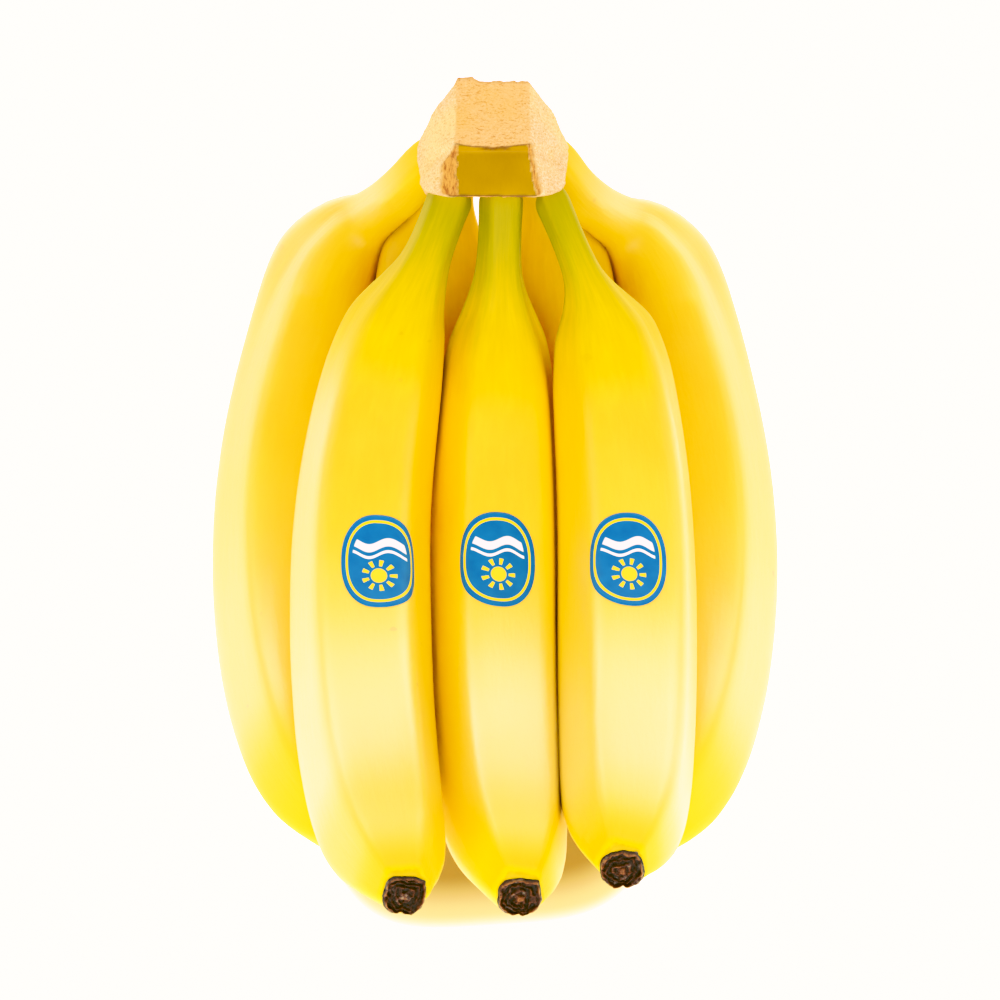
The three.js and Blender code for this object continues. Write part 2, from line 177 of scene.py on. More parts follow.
# Tone curves of the picture, as points [light, shown] for red, green and blue.
TONES = (
    ((0.08, 0.085), (0.2, 0.26), (0.46, 0.66), (0.7, 0.88), (1.0, 1.0)),
    ((0.08, 0.08), (0.17, 0.24), (0.32, 0.44), (0.45, 0.56), (0.6, 0.65), (0.8, 0.785), (1.0, 0.88),
     (1.5, 0.99)),
    ((1.0, 0.96),),
)
BRIGHTEST_TONE = 1.6
BLACK_LEVEL = (0.0, 0.0, 0.021)
TABLE_HALF = 4.0
TABLE_GLOW = 0.66  # the table top glows as painted light, and more so from 0.5 m to 2 m away
FAR_TABLE_GLOW = 1.25
# Half width, half depth and slant of the painted shadow that the bunch lays on the table.
SHADOW_HALF = (0.053, 0.0875)
SHADOW_SLANT = 0.07


def in_frame(point):
    return (Vector(point) - ORIGIN) * MM


def ease(low, high, value):
    """Eases from 0 to 1 as value goes from low to high."""
    t = min(max((value - low) / (high - low), 0.0), 1.0)
    return t * t * (3 - 2 * t)


# ---- Short calls for node trees ----


class Tree:
    """A node tree under construction."""

    def __init__(self, tree):
        self.tree = tree

    def node(self, kind, **settings):
        made = self.tree.nodes.new(kind)
        for name, value in settings.items():
            setattr(made, name, value)
        return made

    def put(self, socket, value):
        if isinstance(value, bpy.types.NodeSocket):
            self.tree.links.new(value, socket)
        else:
            socket.default_value = value

    def after(self, kind, value, **settings):
        """A node with this value, or the geometry so far, in its first socket."""
        made = self.node(kind, **settings)
        self.put(made.inputs[0], value)
        return made

    def result(self, kind, *values, **settings):
        """The first output of a node with these values in its first sockets."""
        made = self.node(kind, **settings)
        for socket, value in zip(made.inputs, values):
            self.put(socket, value)
        return made.outputs[0]

    def maths(self, operation, *values, clamp=False):
        return self.result("ShaderNodeMath", *values, operation=operation, use_clamp=clamp)

    def plus(self, a, b):
        return self.maths("ADD", a, b)

    def minus(self, a, b):
        return self.maths("SUBTRACT", a, b)

    def times(self, a, b):
        return self.maths("MULTIPLY", a, b)

    def power(self, a, b):
        return self.maths("POWER", a, b)

    def absolute(self, value):
        return self.maths("ABSOLUTE", value)

    def wobble(self, value, source, amount):
        """The value, pushed up and down by a noise source's departure from its middle."""
        return self.plus(value, self.times(self.minus(source, 0.5), amount))

    def vector(self, operation, a, b=None):
        made = self.after("ShaderNodeVectorMath", a, operation=operation)
        if operation == "SCALE":
            self.put(made.inputs["Scale"], b)
        elif b is not None:
            self.put(made.inputs[1], b)
        return made.outputs["Value" if operation == "LENGTH" else "Vector"]

    def combine(self, x, y, z):
        return self.result("ShaderNodeCombineXYZ", x, y, z)

    def separate(self, value):
        return self.after("ShaderNodeSeparateXYZ", value).outputs

    def spread(self, value, low, high, to_low=0.0, to_high=1.0):
        """Eases from to_low to to_high as value goes from low to high."""
        span = (value, low, high, to_low, to_high)
        return self.result("ShaderNodeMapRange", *span, interpolation_type="SMOOTHSTEP")

    def noise(self, place, scale, detail=2.0, roughness=0.5):
        made = self.after("ShaderNodeTexNoise", place)
        self.put(made.inputs["Scale"], scale)
        self.put(made.inputs["Detail"], detail)
        self.put(made.inputs["Roughness"], roughness)
        return made.outputs[0]

    def mix(self, share, a, b):
        """Colours a and b mixed; three numbers are a colour as it looks on screen, four are its light."""
        made = self.after("ShaderNodeMix", share, data_type="RGBA")
        for socket, value in ((made.inputs[6], a), (made.inputs[7], b)):
            if isinstance(value, tuple) and len(value) == 3:
                value = (*map(light, value), 1.0)
            self.put(socket, value)
        return made.outputs[2]

    def attribute(self, name, output="Fac"):
        return self.node("ShaderNodeAttribute", attribute_name=name).outputs[output]

    def bump(self, height, distance, strength=1.0, under=None):
        made = self.node("ShaderNodeBump")
        self.put(made.inputs["Strength"], strength)
        self.put(made.inputs["Distance"], distance)
        self.put(made.inputs["Height"], height)
        if under is not None:
            self.put(made.inputs["Normal"], under)
        return made.outputs[0]


def light(value):
    """The light of a colour's red, green or blue, given from 0 to 255 as it looks on screen."""
    share = value / 255
    return share / 12.92 if share <= 0.04045 else ((share + 0.055) / 1.055) ** 2.4


def new_material(name):
    material = bpy.data.materials.new(name)
    material.use_nodes = True
    tree = Tree(material.node_tree)
    shader = material.node_tree.nodes["Principled BSDF"]

    def paint(socket, value):
        """Sets the shader's own socket, or links what varies to it."""
        tree.put(shader.inputs[socket], value)

    return material, tree, paint, tree.node("ShaderNodeTexCoord").outputs["Object"]


# ---- Materials ----


def banana_skin():
    """Ripe yellow peel: green towards the neck, faint streaks and specks, waxy sheen.

    Its attributes "along" and "left" are millimetres from the shoulder and from the tip.
    """
    material, tree, paint, place = new_material("banana_skin")
    along = tree.attribute("along")
    left = tree.attribute("left")
    green = tree.attribute("green")
    around = tree.attribute("round", "Vector")
    drawn_out = tree.vector("ADD", around, tree.combine(0, 0, tree.times(along, 0.012)))
    streaks = tree.noise(drawn_out, 7.0, 3.0, 0.6)
    clouds = tree.noise(place, 32.0, 3.0, 0.55)
    fine = tree.noise(place, 700.0, 2.0, 0.6)

    skin = tree.mix(tree.spread(clouds, 0.3, 0.75), (244, 191, 6), (249, 200, 14))
    skin = tree.mix(tree.spread(streaks, 0.35, 0.8, 0.0, 0.35), skin, (251, 211, 30))
    # painted highlight: the body is painted paler yellow down its lower half, where the sheen lies
    skin = tree.mix(tree.spread(along, 40.0, 115.0, 0.0, 0.7), skin, (250, 212, 20))
    # the neck's green fades over the shoulder, and runs further down in streaks and on the ridges
    fade = tree.wobble(along, streaks, 24.0)
    fade = tree.minus(fade, tree.times(tree.attribute("ridge"), 5.0))
    neck = tree.times(tree.spread(fade, -24.0, 42.0, 1.0, 0.0), green)
    skin = tree.mix(neck, skin, (188, 176, 4))
    # the neck is painted deeper green towards the crown: partly its own deeper green, partly painted shade
    # from the crown
    deep_green_and_shade = tree.times(tree.spread(fade, -30.0, 14.0, 0.75, 0.0), green)
    skin = tree.mix(deep_green_and_shade, skin, (134, 124, 2))
    # a little green comes back just before the tip, then a faint stain under the dried flower
    skin = tree.mix(tree.spread(left, 16.0, 2.0, 0.0, 0.4), skin, (226, 196, 8))
    stain = tree.spread(tree.plus(left, tree.minus(fine, 0.5)), 0.7, 0.1, 0.0, 0.4)
    skin = tree.mix(stain, skin, (150, 112, 16))
    # sparse small freckles
    freckle = tree.spread(tree.noise(place, 210.0, 1.0, 0.4), 0.735, 0.79, 0.0, 0.4)
    patch = tree.spread(tree.noise(place, 24.0, 2.0), 0.45, 0.72)
    skin = tree.mix(tree.times(freckle, patch), skin, (150, 98, 20))
    # painted shade: the peel is painted darker where it lies close to the next one
    skin = tree.mix(tree.times(tree.attribute("shade"), 0.85), skin, (112, 60, 2))
    paint("Base Color", skin)

    # waxy over the body, duller on the neck, which is longer where it is green, and at the tip
    body = tree.spread(tree.minus(along, tree.times(green, 75.0)), -62.0, -22.0)
    tip = tree.spread(left, 3.0, tree.minus(78.0, tree.times(green, 58.0)))
    waxy = tree.times(tree.times(body, tip), tree.attribute("wax"))
    # and duller on the inner side of the shoulder, which faces the neck
    near = tree.spread(tree.absolute(tree.minus(along, 8.0)), 34.0, 12.0)
    facing = tree.spread(tree.separate(around)[0], 0.1, 0.7)
    waxy = tree.times(waxy, tree.minus(1.0, tree.times(near, tree.times(facing, 0.7))))
    dull = tree.spread(waxy, 0.0, 1.0, 0.62, 0.4)
    paint("Roughness", tree.plus(dull, tree.spread(clouds, 0.25, 0.8, -0.04, 0.04)))
    # a pale bloom comes up down the body and is rubbed off at the tip
    bloom = tree.spread(along, 80.0, 152.0, 0.75, 1.45)
    bloom = tree.times(bloom, tree.spread(along, 154.0, 184.0, 1.0, 0.3))
    waxy = tree.times(waxy, bloom)
    paint("Specular IOR Level", tree.plus(tree.times(waxy, 0.45), 0.08))
    paint("IOR", 1.9)
    paint("Coat Weight", tree.maths("MULTIPLY", waxy, 0.85, clamp=True))
    paint("Coat Roughness", 0.4)
    paint("Subsurface Weight", 0.15)
    paint("Subsurface Radius", (1.0, 0.8, 0.2))
    paint("Subsurface Scale", 3.0 * MM)
    fibres = tree.bump(streaks, 0.6 * MM, 0.25)
    paint("Normal", tree.bump(fine, 0.06 * MM, 0.5, fibres))
    return material


def cut_stalk():
    """The crown: corky cut faces, torn fibres along their edges, and ochre skin where it is whole.

    Its attributes "whole", "torn", "pale" and "edge" are the shares of the kinds of face; "pale" paints the
    side faces paler, as painted light falling on them from the side.
    """
    material, tree, paint, place = new_material("cut_stalk")
    whole = tree.attribute("whole")
    torn = tree.attribute("torn")
    grain = tree.noise(place, 1700.0, 3.0, 0.75)
    patches = tree.noise(place, 150.0, 4.0, 0.6)
    wide = tree.noise(place, 40.0, 2.0, 0.5)
    strands = tree.noise(tree.vector("MULTIPLY", place, (1.0, 0.3, 0.45)), 1500.0, 3.0, 0.65)
    flecks = tree.noise(tree.vector("MULTIPLY", place, (1.0, 2.0, 2.0)), 760.0, 3.0, 0.75)

    cork = tree.mix(tree.spread(grain, 0.32, 0.68), (220, 150, 84), (250, 198, 146))
    cork = tree.mix(tree.spread(patches, 0.35, 0.75, 0.0, 0.5), cork, (248, 190, 136))
    cork = tree.mix(tree.spread(flecks, 0.52, 0.66, 0.0, 0.85), cork, (180, 102, 42))
    cork = tree.mix(tree.spread(wide, 0.5, 0.75, 0.0, 0.4), cork, (236, 160, 66))
    # painted light: the side faces are painted paler, for light falling on them from the side
    side = tree.mix(tree.spread(grain, 0.35, 0.7), (222, 170, 116), (250, 224, 190))
    side = tree.mix(tree.spread(wide, 0.35, 0.7, 0.0, 0.7), side, (250, 214, 140))
    side = tree.mix(tree.spread(flecks, 0.53, 0.66, 0.0, 0.75), side, (190, 116, 52))
    fibres = tree.mix(tree.spread(strands, 0.34, 0.6), (146, 84, 38), (216, 150, 80))
    ochre = tree.mix(tree.spread(wide, 0.3, 0.7), (146, 108, 1), (170, 130, 3))
    ochre = tree.mix(tree.spread(strands, 0.45, 0.8, 0.0, 0.16), ochre, (122, 82, 4))
    face = tree.mix(tree.attribute("pale"), cork, side)
    face = tree.mix(torn, face, fibres)
    face = tree.mix(whole, face, ochre)
    face = tree.mix(tree.attribute("edge"), face, (72, 36, 10))
    paint("Base Color", face)
    paint("Roughness", tree.spread(whole, 0.2, 0.8, 0.85, 0.5))
    paint("Specular IOR Level", tree.spread(whole, 0.2, 0.8, 0.4, 0.12))
    relief = tree.times(grain, tree.spread(whole, 0.2, 0.8, 1.0, 0.12))
    pores = tree.bump(relief, 0.4 * MM, 0.8)
    paint("Normal", tree.bump(tree.times(strands, torn), 0.6 * MM, 0.9, pores))
    return material


def dried_blossom():
    """Dry, crumpled and nearly black in its folds, in part painted shade, red-brown on its ridges, with
    greyish patches.
    """
    material, tree, paint, place = new_material("dried_blossom")
    grain = tree.noise(place, 1100.0, 4.0, 0.7)
    patches = tree.noise(place, 380.0, 3.0, 0.6)
    level = tree.wobble(tree.attribute("height"), grain, 0.8)
    # in part painted shade: the lower the crumpled top, the darker it is painted, near black down in the
    # folds
    brown = tree.mix(tree.spread(level, 0.15, 0.55), (17, 5, 5), (68, 29, 18))
    brown = tree.mix(tree.spread(level, 0.45, 0.85, 0.0, 0.9), brown, (146, 90, 54))
    brown = tree.mix(tree.spread(patches, 0.58, 0.74, 0.0, 0.55), brown, (172, 146, 140))
    paint("Base Color", brown)
    paint("Roughness", tree.spread(patches, 0.3, 0.7, 0.6, 0.3))
    paint("Normal", tree.bump(grain, 0.6 * MM, 1.0))
    return material


def sticker_film():
    """Blue printed film with a yellow rim line, white waves and a small sun.

    The print runs from -1 to 1 across and up the oval.
    """
    material, tree, paint, place = new_material("sticker_film")
    white = (243, 253, 244)
    across, up, _ = tree.separate(tree.node("ShaderNodeUVMap", uv_map="print").outputs[0])
    across = tree.times(tree.minus(across, 0.5), 2.0)
    up = tree.times(tree.minus(up, 0.5), 2.0)
    sides = tree.power(tree.absolute(across), STICKER_SQUARENESS)
    ends = tree.power(tree.absolute(up), STICKER_SQUARENESS)
    reach = tree.power(tree.plus(sides, ends), 1 / STICKER_SQUARENESS)

    def line(value, middle, half):
        away = tree.absolute(tree.minus(value, middle))
        return tree.spread(away, half * 0.85, half * 1.15, 1.0, 0.0)

    mottle = tree.noise(place, 260.0, 2.0)
    blue = tree.mix(mottle, (0, 86, 166), (2, 106, 188))
    print_ = tree.mix(line(reach, 0.86, 0.03), blue, (232, 214, 40))
    # two waves, a broad one over a thin one, cut off inside the rim line
    crest = tree.times(tree.maths("SINE", tree.times(across, 6.0)), 0.07)
    inside = tree.spread(reach, 0.70, 0.73, 1.0, 0.0)
    for height, half in ((0.36, 0.085), (0.16, 0.03)):
        wave = tree.times(line(up, tree.plus(crest, height), half), inside)
        print_ = tree.mix(wave, print_, white)
    # a sun with nine rays
    low = tree.times(tree.plus(up, 0.3), STICKER_HALF[1] / STICKER_HALF[0])
    out = tree.maths("SQRT", tree.plus(tree.times(across, across), tree.times(low, low)))
    disc = tree.spread(out, 0.2, 0.225, 1.0, 0.0)
    turn = tree.maths("ARCTAN2", low, across)
    ray = tree.maths("GREATER_THAN", tree.maths("COSINE", tree.times(turn, 9.0)), 0.35)
    rays = tree.times(ray, line(out, 0.37, 0.09))
    print_ = tree.mix(tree.maths("MAXIMUM", disc, rays), print_, (238, 218, 50))
    paint("Base Color", print_)
    paint("Roughness", tree.spread(mottle, 0.3, 0.7, 0.3, 0.38))
    paint("Specular IOR Level", 0.25)
    crinkle = tree.noise(place, 180.0, 2.0)
    paint("Normal", tree.bump(crinkle, 0.3 * MM, 0.15))
    return material


# ---- Form of a banana ----


def read_table(table, x):
    """Reads rows of [x, y] at x, as a smooth curve through them."""
    def slope(i):
        before, after = table[max(i - 1, 0)], table[min(i + 1, len(table) - 1)]
        return (after[1] - before[1]) / (after[0] - before[0])

    at = min(max(x, table[0][0]), table[-1][0])
    i = 1
    while table[i][0] < at:
        i += 1
    (x0, y0), (x1, y1) = table[i - 1], table[i]
    width = x1 - x0
    t = (at - x0) / width
    eased = t * t * (3 - 2 * t)
    return (y0 * (1 - eased) + y1 * eased + slope(i - 1) * width * t * (1 - t) ** 2
            - slope(i) * width * t * t * (1 - t))


def dome(share):
    """How wide a dome is, from 0 at its top to 1 at its foot and beyond."""
    return math.sqrt(1 - (1 - min(1.0, share)) ** 2)


class BananaForm:
    """The middle line of one banana, with the shape of its skin round it."""

    def __init__(self, row):
        self.row = row
        fan = math.radians(row["fan"])
        self.inside = Vector((-math.sin(fan), 0, math.cos(fan)))
        self.side = Vector((math.cos(fan), 0, math.sin(fan)))
        self.up = math.radians(row["up"])
        self.down = math.radians(row["down"])
        stalk, body = self.stalk_points(), self.body_points()
        line = stalk + body
        lengths = [0.0]
        for a, b in zip(line, line[1:]):
            lengths.append(lengths[-1] + (b - a).length)
        self.tables = [[[s, p[k]] for s, p in zip(lengths, line)] for k in range(3)]
        self.stalk_length = lengths[len(stalk)]
        self.body_length = lengths[-1] - self.stalk_length

    def arc_point(self, angle):
        row = self.row
        share = angle / (self.up if angle < 0 else self.down)
        lean = row["lean_up" if angle < 0 else "lean_down"] * share * share
        along = Vector((0, -row["bend"] * math.sin(angle), 0))
        inwards = self.inside * row["bend"] * (1 - math.cos(angle))
        return Vector(row["belly"]) + along + inwards + self.side * lean

    def arc_direction(self, angle, step=0.001):
        return (self.arc_point(angle + step) - self.arc_point(angle - step)).normalized()

    def stalk_points(self, steps=12, root_steps=4):
        """From deep in the crown, out at the socket, and round to the body's shoulder."""
        start, end = Vector(self.row["socket"]), self.arc_point(-self.up)
        reach = (end - start).length / 3
        first = start + (end - start).normalized() * reach + Vector(self.row["sag"])
        second = end - self.arc_direction(-self.up) * reach * STALK_SWING
        points = []
        for i in range(root_steps):
            points.append(start.lerp(CROWN_HEART, self.row["rooted"] * (1 - i / root_steps)))
        for i in range(steps):
            t = i / steps
            near = start * (1 - t) ** 3 + first * 3 * t * (1 - t) ** 2
            points.append(near + second * 3 * t * t * (1 - t) + end * t ** 3)
        return points

    def body_points(self, steps=36, tip_steps=8):
        whole = self.up + self.down
        points = [self.arc_point(-self.up + whole * i / steps) for i in range(steps + 1)]
        direction = self.arc_direction(self.down)
        axis = direction.cross(self.inside).normalized()
        turned = math.radians(self.row["curl"]) / tip_steps
        for _ in range(tip_steps):
            across = axis.cross(direction)
            direction = direction * math.cos(turned) + across * math.sin(turned)
            points.append(points[-1] + direction * self.row["tip"] / tip_steps)
        return points

    def middle(self, along):
        """The middle line's point, averaged over a short stretch so that the neck flows into the body."""
        room = min(SOFTENING, along + self.stalk_length, self.body_length - along)
        total = Vector((0, 0, 0))
        for share, weight in SOFTENING_WEIGHTS:
            at = along + share * room + self.stalk_length
            total += Vector([read_table(table, at) for table in self.tables]) * weight
        return total

    def section(self, along):
        """Middle, direction and the two axes of the section at a distance from the shoulder."""
        room = min(TURNING, along + self.stalk_length, self.body_length - along) + 0.5
        low = max(along - room, -self.stalk_length)
        high = min(along + room, self.body_length)
        direction = (self.middle(high) - self.middle(low)).normalized()
        inwards = direction.cross(self.side).normalized()
        sideways = inwards.cross(direction)
        middle = self.middle(along) - inwards * SHOULDER_SHIFT * self.shoulder_share(along)
        return middle, direction, inwards, sideways

    def shoulder_share(self, along):
        """Rises from nothing at the shoulder to one a little below it, then dies away down the body."""
        total = 0.0
        for share, weight in SOFTENING_WEIGHTS:
            reached = max(along + share * SOFTENING, 0) / self.row["swell_place"]
            total += reached * math.exp(1 - reached) * weight
        return total

    def girth(self, along):
        radius = read_table(GIRTH, along * GIRTH[-1][0] / self.body_length if along > 0 else along)
        return radius * (1 + (self.row["neck"] - 1) * ease(*NECK_STRETCH, along))

    def fill(self, along):
        """How much the hollow between neck and body is filled out on one side."""
        return self.row["fill"] * math.exp(-(((along - FILL_PLACE) / FILL_SPREAD) ** 2))

    def towards(self, angle, turn):
        """One at the turn that the row gives by this name, less to either side, and nothing behind."""
        return max(0.0, math.cos(angle - math.radians(self.row[turn]))) ** 2

    def skin_point(self, along, angle):
        middle, _, inwards, sideways = self.section(along)
        turned = angle - math.radians(self.row["face"])
        faces = [max(0.0, math.cos(turned - i * FACET_TURN)) ** RIDGE_SHARPNESS for i in range(5)]
        swell = self.row["swell"] * self.shoulder_share(along) * self.towards(angle + math.pi, "swell_turn")
        hollow = self.fill(along) * self.towards(angle, "fill_turn")
        radius = self.girth(along) * sum(faces) ** (-1 / RIDGE_SHARPNESS) * FACE_SHARE + swell + hollow
        return middle + inwards * radius * math.cos(angle) + sideways * radius * math.sin(angle)


# ---- Bananas ----


def banana_tree(skin):
    """Node tree that skins a row of sections: a ring of points round each, pushed out to the peel."""
    group = bpy.data.node_groups.new("banana", "GeometryNodeTree")
    tree = Tree(group)
    group.interface.new_socket("Geometry", in_out="INPUT", socket_type="NodeSocketGeometry")
    for name, value in (
        ("Sides", PEEL_SIDES), ("Ridge sharpness", RIDGE_SHARPNESS), ("Face share", FACE_SHARE),
        ("Face turn", 0.0), ("Swell turn", 0.0), ("Fill turn", 0.0), ("Seed", 0.0),
        ("Shoulder softening", SHOULDER_ROUNDS), ("Rest height", 0.0), ("Unevenness", UNEVENNESS),
    ):
        kind = "NodeSocketInt" if isinstance(value, int) else "NodeSocketFloat"
        made = group.interface.new_socket(name, in_out="INPUT", socket_type=kind)
        made.default_value = value
    group.interface.new_socket("Geometry", in_out="OUTPUT", socket_type="NodeSocketGeometry")
    given = tree.node("NodeGroupInput").outputs

    def named(name, kind="FLOAT"):
        made = tree.node("GeometryNodeInputNamedAttribute", data_type=kind)
        made.inputs["Name"].default_value = name
        return made.outputs["Attribute"]

    def store(geometry, name, value, kind="FLOAT"):
        made = tree.after("GeometryNodeStoreNamedAttribute", geometry, data_type=kind, domain="POINT")
        made.inputs["Name"].default_value = name
        tree.put(made.inputs["Value"], value)
        return made.outputs["Geometry"]

    def position():
        return tree.node("GeometryNodeInputPosition").outputs[0]

    def moved(geometry, place, by="Position"):
        made = tree.after("GeometryNodeSetPosition", geometry)
        tree.put(made.inputs[by], place)
        return made.outputs["Geometry"]

    # a tube along the sections' middles, with the turn round each section stored on it
    line = tree.after("GeometryNodeMeshToCurve", given["Geometry"])
    circle = tree.node("GeometryNodeCurvePrimitiveCircle", mode="RADIUS")
    tree.put(circle.inputs["Resolution"], given["Sides"])
    turn = tree.times(tree.node("GeometryNodeSplineParameter").outputs["Factor"], 2 * math.pi)
    profile = store(circle.outputs["Curve"], "turn", turn)
    tube = tree.after("GeometryNodeCurveToMesh", line.outputs["Curve"])
    tree.put(tube.inputs["Profile Curve"], profile)
    tube.inputs["Fill Caps"].default_value = True

    # how far from the nearest face's middle, between minus and plus half a facet
    angle = named("turn")
    half = FACET_TURN / 2
    away = tree.plus(tree.minus(angle, given["Face turn"]), half + 4 * math.pi)
    away = tree.minus(tree.maths("MODULO", away, FACET_TURN), half)
    total = None
    for facet in (-1, 0, 1):
        near = tree.maths("MAXIMUM", tree.maths("COSINE", tree.plus(away, facet * FACET_TURN)), 0.0)
        term = tree.power(near, given["Ridge sharpness"])
        total = term if total is None else tree.plus(total, term)
    faces = tree.power(total, tree.maths("DIVIDE", -1.0, given["Ridge sharpness"]))
    faces = tree.times(faces, given["Face share"])

    # the girth, with the shoulder standing out on its outer side and its hollow filled on the inner one
    outer = tree.times(tree.maths("COSINE", tree.minus(angle, given["Swell turn"])), -1.0)
    outer = tree.power(tree.maths("MAXIMUM", outer, 0.0), 2.0)
    hollow = tree.maths("MAXIMUM", tree.maths("COSINE", tree.minus(angle, given["Fill turn"])), 0.0)
    radius = tree.plus(tree.times(named("girth"), faces), tree.times(named("swell"), outer))
    radius = tree.plus(radius, tree.times(named("fill"), tree.power(hollow, 2.0)))
    cosine = tree.maths("COSINE", angle)
    sine = tree.maths("SINE", angle)
    inwards = tree.vector("SCALE", named("inwards", "FLOAT_VECTOR"), tree.times(radius, cosine))
    sideways = tree.vector("SCALE", named("sideways", "FLOAT_VECTOR"), tree.times(radius, sine))
    place = tree.vector("ADD", named("middle", "FLOAT_VECTOR"), tree.vector("ADD", inwards, sideways))
    ridge = tree.spread(tree.absolute(away), half * 0.35, half)
    peel = store(tube.outputs["Mesh"], "ridge", ridge)
    peel = store(peel, "round", tree.combine(cosine, sine, 0.0), "FLOAT_VECTOR")
    peel = moved(peel, place)

    # the bend from neck to body is evened out on the inner side
    blur = tree.node("GeometryNodeBlurAttribute", data_type="FLOAT_VECTOR")
    tree.put([socket for socket in blur.inputs if socket.type == "VECTOR"][0], position())
    tree.put(blur.inputs["Iterations"], given["Shoulder softening"])
    along = named("along")
    near = tree.times(tree.spread(along, -28.0, -14.0), tree.spread(along, 28.0, 8.0))
    tree.put(blur.inputs["Weight"], tree.times(near, tree.spread(hollow, 0.0, 0.6)))
    peel = moved(peel, [socket for socket in blur.outputs if socket.type == "VECTOR"][0])

    # soft dents and swellings, and nothing below the height that the bunch rests on
    where = tree.vector("ADD", position(), tree.combine(given["Seed"], 0.0, 0.0))
    dents = tree.minus(tree.noise(where, 28.0, 2.0, 0.4), 0.5)
    depth = tree.times(dents, tree.times(given["Unevenness"], 2.0))
    push = tree.vector("SCALE", tree.node("GeometryNodeInputNormal").outputs[0], depth)
    peel = moved(peel, push, "Offset")
    x, y, z = tree.separate(position())
    peel = moved(peel, tree.combine(x, y, tree.maths("MAXIMUM", z, given["Rest height"])))

    smooth = tree.after("GeometryNodeSetShadeSmooth", peel)
    real = tree.after("GeometryNodeRealizeInstances", smooth.outputs["Geometry"])
    painted = tree.after("GeometryNodeSetMaterial", real.outputs["Geometry"])
    painted.inputs["Material"].default_value = skin
    tree.put(tree.node("NodeGroupOutput").inputs["Geometry"], painted.outputs["Geometry"])
    return group


def set_input(modifier, name, value):
    for item in modifier.node_group.interface.items_tree:
        if item.in_out == "INPUT" and item.name == name:
            modifier[item.identifier] = value


def add_object(name, mesh):
    made = bpy.data.objects.new(name, mesh)
    bpy.context.scene.collection.objects.link(made)
    return made


def add_values(mesh, name, values):
    """Stores a list of numbers or of vectors on the mesh's points as an attribute."""
    if isinstance(values[0], Vector):
        parts = [part for value in values for part in value]
        mesh.attributes.new(name, "FLOAT_VECTOR", "POINT").data.foreach_set("vector", parts)
    else:
        mesh.attributes.new(name, "FLOAT", "POINT").data.foreach_set("value", values)


def baked(made):
    """The object with its modifiers worked into a plain mesh."""
    bpy.context.view_layer.update()
    mesh = bpy.data.meshes.new_from_object(made.evaluated_get(bpy.context.evaluated_depsgraph_get()))
    made.modifiers.clear()
    made.data = mesh
    mesh.name = made.name
    return made


def face_outwards(mesh):
    shape = bmesh.new()
    shape.from_mesh(mesh)
    bmesh.ops.recalc_face_normals(shape, faces=shape.faces)
    if shape.calc_volume(signed=True) < 0:
        bmesh.ops.reverse_faces(shape, faces=shape.faces)
    shape.to_mesh(mesh)
    shape.free()


def finished(mesh, material):
    """An object of a closed mesh, with its faces outwards, smooth and painted."""
    face_outwards(mesh)
    mesh.polygons.foreach_set("use_smooth", [True] * len(mesh.polygons))
    mesh.materials.append(material)
    return add_object(mesh.name, mesh)


def section_places(form):
    """Distances of the sections from the shoulder, closer together at the tip."""
    whole = form.stalk_length + form.body_length
    places = [-form.stalk_length + whole * (i / PEEL_SECTIONS) for i in range(PEEL_SECTIONS + 1)]
    last = form.body_length - TIP_STRETCH
    steps = round(TIP_STRETCH / TIP_STEP)
    return [a for a in places if a < last] + [last + TIP_STEP * k for k in range(steps + 1)]


def make_banana(form, tree):
    row = form.row
    sections = []
    for along in section_places(form):
        middle, _, inwards, sideways = form.section(along)
        left = form.body_length - along
        rounded = TIP_GIRTH + (1 - TIP_GIRTH) * dome(left / TIP_ROUNDING)
        rooted = dome((along + form.stalk_length + 0.02) / ROOT_ROUNDING)
        sections.append(dict(
            middle=in_frame(middle), inwards=inwards, sideways=sideways,
            girth=form.girth(along) * rounded * rooted * MM,
            swell=row["swell"] * form.shoulder_share(along) * MM,
            fill=form.fill(along) * MM,
            along=along, left=left, green=row["green"], wax=row["wax"],
        ))
    mesh = bpy.data.meshes.new("banana_" + row["name"])
    middles = [section["middle"] for section in sections]
    mesh.from_pydata(middles, [(i, i + 1) for i in range(len(sections) - 1)], [])
    for name in sections[0]:
        add_values(mesh, name, [section[name] for section in sections])
    made = add_object("peel_" + row["name"], mesh)
    modifier = made.modifiers.new("banana", "NODES")
    modifier.node_group = tree
    set_input(modifier, "Face turn", math.radians(row["face"]))
    set_input(modifier, "Swell turn", math.radians(row["swell_turn"]))
    set_input(modifier, "Fill turn", math.radians(row["fill_turn"]))
    set_input(modifier, "Shoulder softening", FILLED_SHOULDER_ROUNDS if row["fill"] else SHOULDER_ROUNDS)
    set_input(modifier, "Seed", float(row["seed"]))
    baked(made)
    for name in ("girth", "swell", "fill", "turn", "inwards", "sideways", "middle"):
        made.data.attributes.remove(made.data.attributes[name])
    face_outwards(made.data)
    return made


def surface_of(peel):
    corners = [v.co for v in peel.data.vertices]
    return BVHTree.FromPolygons(corners, [f.vertices for f in peel.data.polygons])


def shade_close_places(peels):
    """Each peel's attribute shade, the strength of its painted shade: 1 where it all but touches another
    peel, 0 from SHADE_REACH on.
    """
    surfaces = {name: surface_of(peel) for name, peel in peels.items()}
    for name, peel in peels.items():
        others = [surface for other, surface in surfaces.items() if other != name]
        depth = BACK_SHADE if name.startswith("back") else 1.0
        shades = []
        for corner in peel.data.vertices:
            nearest = SHADE_REACH
            for other in others:
                distance = other.find_nearest(corner.co, nearest)[3]
                nearest = nearest if distance is None else min(nearest, distance)
            shades.append(depth * (1 - nearest / SHADE_REACH) ** SHADE_FALL)
        add_values(peel.data, "shade", shades)


